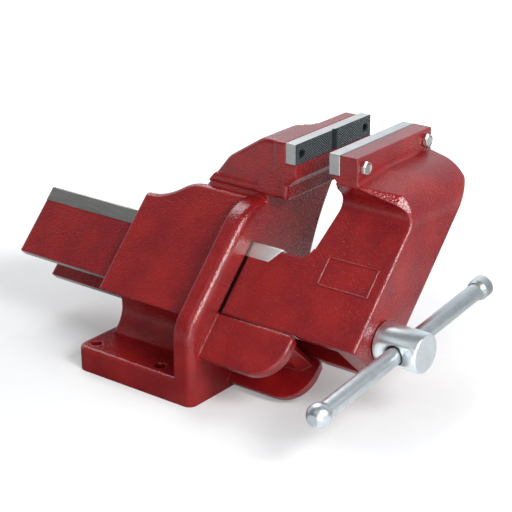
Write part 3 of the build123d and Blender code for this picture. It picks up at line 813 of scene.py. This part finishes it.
def thread_tree():
    """Helical sheet: four rows of points to a turn, two on the crest and two on the root."""
    tree, size = geometry_tree("spindle_thread", ("Front", "Rear", "Pitch", "Crest", "Root"), ("Segments",))
    length = sum_of(tree, "SUBTRACT", size["Rear"], size["Front"])
    turns = sum_of(tree, "CEIL", sum_of(tree, "DIVIDE", length, size["Pitch"]))
    rows = sum_of(tree, "MULTIPLY_ADD", turns, ROWS_A_TURN, SPARE_ROWS)
    grid = add_node(tree, "GeometryNodeMeshGrid", {
        "Size X": 1.0, "Size Y": 1.0, "Vertices X": sum_of(tree, "ADD", size["Segments"], 1.0),
        "Vertices Y": rows}).outputs[0]
    spot = add_node(tree, "GeometryNodeInputPosition").outputs[0]
    round_share = sum_of(tree, "ADD", coordinate(tree, spot, "X"), 0.5)
    row_share = sum_of(tree, "ADD", coordinate(tree, spot, "Y"), 0.5)
    row = sum_of(tree, "MULTIPLY", row_share, sum_of(tree, "SUBTRACT", rows, 1.0))
    row = sum_of(tree, "ROUND", row)
    turn = sum_of(tree, "FLOOR", sum_of(tree, "DIVIDE", row, ROWS_A_TURN))
    step = sum_of(tree, "MODULO", row, ROWS_A_TURN)
    root = above(tree, step, 1.5)
    late = sum_of(tree, "MULTIPLY", step, THREAD_FLAT)
    late = sum_of(tree, "SUBTRACT", late, sum_of(tree, "MULTIPLY", root, ROOT_EARLY))
    along = sum_of(tree, "SUBTRACT", sum_of(tree, "ADD", turn, late), 1.0)
    along = sum_of(tree, "ADD", along, round_share)
    depth = sum_of(tree, "MULTIPLY_ADD", along, size["Pitch"], size["Front"])
    tip = sum_of(tree, "SUBTRACT", sum_of(tree, "ADD", size["Root"], size["Rear"]), depth)
    radius = sum_of(tree, "MINIMUM", blend_value(tree, root, size["Crest"], size["Root"]), tip)
    radius = sum_of(tree, "MAXIMUM", radius, 0.0)
    depth = sum_of(tree, "MINIMUM", sum_of(tree, "MAXIMUM", depth, size["Front"]), size["Rear"])
    angle = sum_of(tree, "MULTIPLY", round_share, 2 * pi)
    place = vector_of(tree, sum_of(tree, "MULTIPLY", radius, sum_of(tree, "COSINE", angle)), depth,
                      sum_of(tree, "MULTIPLY", radius, sum_of(tree, "SINE", angle)))
    helix = add_node(tree, "GeometryNodeSetPosition", {"Geometry": grid, "Position": place}).outputs[0]
    closed = add_node(tree, "GeometryNodeMergeByDistance", {
        "Geometry": helix, "Distance": THREAD_JOIN}).outputs[0]
    end_tree(tree, closed, OILED_STEEL)
    return tree


def spindle_head():
    """Head and neck of the spindle, cut from its node where the thread begins."""
    head = node_shape("spindle")
    cut = bmesh.ops.bisect_plane(head, geom=head.verts[:] + head.edges[:] + head.faces[:],
                                 plane_co=(0, THREAD_FRONT, 0), plane_no=(0, 1, 0), clear_outer=True)
    rim = [part for part in cut["geom_cut"] if isinstance(part, bmesh.types.BMEdge)]
    bmesh.ops.holes_fill(head, edges=rim, sides=0)
    bmesh.ops.recalc_face_normals(head, faces=head.faces)
    return place_object("spindle_head", keep_mesh("spindle_head", head, SPINDLE_ZINC))


head = spindle_head()
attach(head, "screw")
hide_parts("spindle")
thread = grow_piece("spindle_thread", thread_tree(), {
    "Front": THREAD_FRONT, "Rear": THREAD_REAR, "Pitch": THREAD_PITCH, "Crest": THREAD_CREST,
    "Root": THREAD_ROOT, "Segments": THREAD_STEPS})
thread.data.transform(Matrix.Translation(SPINDLE_AXIS))
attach(thread, "screw")


# Nut, collar and their screws
# The nut is cast iron, left rough. Its two socket screws, the collar behind
# the front wall and the collar's cross pin are black oiled steel.

SAND_DEEP = 0.0002
SAND_DARK = (0.07, 0.065, 0.06, 1)
SAND_GREY = (0.19, 0.18, 0.17, 1)


def raw_iron():
    """Unpainted cast iron with a fine sandy skin."""
    material, tree, shader, place = new_finish("raw_iron")
    sand = speckle(tree, place, scale=500.0, detail=4.0)
    feed(tree, shader, {
        "Base Color": blend_colour(tree, sand, SAND_DARK, SAND_GREY),
        "Roughness": blend_value(tree, sand, 0.5, 0.75),
        "Metallic": 0.6,
        "Normal": embossed(tree, sum_of(tree, "MULTIPLY", sand, SAND_DEEP))})
    return material


dress("spindle_nut", raw_iron())
for node in ("nut_screw_front", "nut_screw_rear", "spindle_collar", "collar_pin"):
    dress(node, OILED_STEEL)


# Handle bar
# A round steel bar, zinc plated, that slides through the head. Its near end
# is forged to a ball, and a cap is pressed on the far end after assembly.

BAR_ZINC = bright_zinc(
    "bar_zinc", dull=(0.47, 0.51, 0.53, 1), clean=(0.68, 0.73, 0.75, 1),
    streak_scale=(0.06, 1.0, 1.0), gloss=(0.24, 0.42))
dress("handle_bar", BAR_ZINC)
dress("handle_cap", BAR_ZINC)


# Studio
# A white table that runs off into a white room. Soft lamps stand in front, above,
# on the left and below the camera, and a small bright one draws the rounded edges.

BACKDROP_WAY = (0.789, 0.614, 0.0)
BACKDROP_STARTS = 0.12
BACKDROP_WHITE = 0.55
NEAR_GLOW = 0.14
ROOM_LIGHT = 0.37
ROOM_TONE = (0.90, 0.95, 1.0, 1)
WHITE = (1, 1, 1, 1)


def white_room():
    """White backdrop for the camera and for reflections, and a dimmer studio on the near side."""
    world = bpy.data.worlds.new("white_room")
    bpy.context.scene.world = world
    world.use_nodes = True
    tree = world.node_tree
    path = add_node(tree, "ShaderNodeLightPath").outputs
    ahead = add_node(tree, "ShaderNodeTexCoord").outputs["Generated"]
    far_side = vector_sum(tree, "DOT_PRODUCT", ahead, BACKDROP_WAY)
    glow = ramp(tree, far_side, BACKDROP_STARTS, BACKDROP_WHITE, NEAR_GLOW, 1.0)
    strength = blend_value(tree, path["Is Glossy Ray"], ROOM_LIGHT, glow)
    feed(tree, tree.nodes["Background"], {
        "Color": blend_colour(tree, path["Is Camera Ray"], ROOM_TONE, WHITE),
        "Strength": blend_value(tree, path["Is Camera Ray"], strength, 1.0)})


TABLE_HALF = 6.0
TABLE_TONE = (0.73, 0.76)
GLOW_STARTS = 0.36
GLOW_FULL = 0.80
GLOW_NEAR = 0.18
GLOW_FAR = 0.90
SHINE_TONE = 0.95
GREY_CARDS = (
    {"middle": (0.47, -0.36, 0.0), "inner": 0.10, "outer": 0.22, "tone": 0.10},
    {"middle": (-0.28, 0.08, 0.0), "inner": 0.20, "outer": 0.42, "tone": 0.10},
    {"middle": (0.63, -0.62, 0.0), "inner": 0.10, "outer": 0.30, "tone": 0.10},
    {"middle": (0.19, -0.50, 0.0), "inner": 0.10, "outer": 0.26, "tone": 0.60})


def white_table():
    """Matt white that keeps the shadow of the vise, with grey cards that show only in reflections."""
    material, tree, shader, place = new_finish("white_table")
    path = add_node(tree, "ShaderNodeLightPath").outputs
    reach = vector_sum(tree, "LENGTH", place)
    glow = ramp(tree, reach, GLOW_STARTS, GLOW_FULL, GLOW_NEAR, GLOW_FAR)
    tone = blend_value(tree, speckle(tree, place, scale=40.0), *TABLE_TONE)
    shine = SHINE_TONE
    for card in GREY_CARDS:
        away = vector_sum(tree, "DISTANCE", place, card["middle"])
        shade = ramp(tree, away, card["inner"], card["outer"], card["tone"], SHINE_TONE)
        shine = sum_of(tree, "MINIMUM", shade, shine)
    feed(tree, shader, {
        "Base Color": blend_value(tree, path["Is Glossy Ray"], tone, shine),
        "Roughness": 0.9,
        "Specular IOR Level": 0.1,
        "Emission Color": WHITE,
        "Emission Strength": sum_of(tree, "MULTIPLY", path["Is Camera Ray"], glow)})
    return material


def table_top():
    """Square table that glows white further out."""
    mesh = bpy.data.meshes.new("table")
    corners = [(x * TABLE_HALF, y * TABLE_HALF, 0) for x, y in ((-1, -1), (1, -1), (1, 1), (-1, 1))]
    mesh.from_pydata(corners, [], [(0, 1, 2, 3)])
    mesh.materials.append(white_table())
    place_object("table", mesh)


def soft_light(name, place, target, size, power):
    """Square lamp that faces a target."""
    lamp = bpy.data.lights.new(name, "AREA")
    lamp.shape = "SQUARE"
    lamp.size = size
    lamp.energy = power
    holder = place_object(name, lamp)
    holder.location = place
    holder.rotation_euler = (Vector(target) - Vector(place)).to_track_quat("-Z", "Y").to_euler()


CAMERA_PLACE = Vector((-1.33056, -1.15272, 0.82551))
CAMERA_RIGHT = Vector((0.612432, -0.790506, -0.005290))
CAMERA_UP = Vector((0.295883, 0.223015, 0.928826))
CAMERA_AHEAD = Vector((0.733062, 0.570408, -0.370479))
FOCAL_PIXELS = 1583.2
PICTURE_PIXELS = 512


def photograph_camera():
    """Camera at the photograph's angle and distance."""
    lens = bpy.data.cameras.new("camera")
    lens.sensor_width = 36.0
    lens.lens = FOCAL_PIXELS * lens.sensor_width / PICTURE_PIXELS
    holder = place_object("camera", lens)
    turn = Matrix((CAMERA_RIGHT, CAMERA_UP, -CAMERA_AHEAD)).transposed().to_4x4()
    holder.matrix_world = Matrix.Translation(CAMERA_PLACE) @ turn
    bpy.context.scene.camera = holder


white_room()
table_top()
soft_light("front_light", place=(0.4, -2.0, 1.0), target=(0.0, -0.1, 0.12), size=1.2, power=8.5)
soft_light("top_light", place=(0.6, 0.9, 1.8), target=(0.0, -0.1, 0.1), size=1.2, power=16)
soft_light("left_light", place=(-1.4, -0.1, 1.5), target=(0.0, -0.1, 0.12), size=1.0, power=2.5)
soft_light("fill_light", place=(-1.25, -1.25, 0.45), target=(0.0, -0.1, 0.10), size=0.9, power=8)
soft_light("rim_light", place=(-0.52, -1.60, 1.25), target=(0.0, -0.1, 0.12), size=0.62, power=26)
photograph_camera()
bpy.context.scene.view_settings.view_transform = "Standard"
